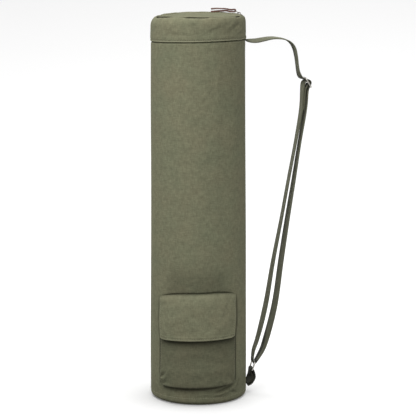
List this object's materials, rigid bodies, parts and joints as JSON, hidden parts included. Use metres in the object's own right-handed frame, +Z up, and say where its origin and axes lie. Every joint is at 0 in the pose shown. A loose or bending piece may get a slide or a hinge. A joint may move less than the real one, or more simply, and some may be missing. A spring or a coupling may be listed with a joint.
{
  "type": "yoga mat bag",
  "caption": "Tall cylindrical canvas bag with a zipped round lid, a flap pocket and an adjustable shoulder strap, for carrying a rolled mat.",
  "frame": {"origin": "middle of the round base, on the surface that the bag stands on, on the axis of the tube", "axes": "+Z up along the tube to the zipped lid, -Y to the front with the pocket, +X towards the shoulder strap"},
  "size_m": [0.2915, 0.1899, 0.7013],
  "materials": {
    "canvas": "washed olive cotton canvas, matte",
    "zip_tape": "woven tape, matte",
    "strap_webbing": "olive cotton webbing, matte",
    "leather": "dark brown leather lace",
    "zip_metal": "worn nickel",
    "strap_metal": "nickel-plated steel wire"
  },
  "bodies": {
    "root": {"bag_body": "canvas", "base_panel": "canvas", "top_band": "canvas", "lid_front": "canvas", "lid_back": "canvas", "pocket_pouch": "canvas", "pocket_flap": "canvas", "zip_tape_front": "zip_tape", "zip_tape_back": "zip_tape", "zip_teeth": "zip_metal", "zip_slider": "zip_metal", "zip_pull_ring": "zip_metal", "pull_thong": "leather", "shoulder_strap": "strap_webbing", "ring_tab": "strap_webbing", "strap_slider": "strap_metal", "base_ring": "strap_metal"}
  },
  "joints": []
}
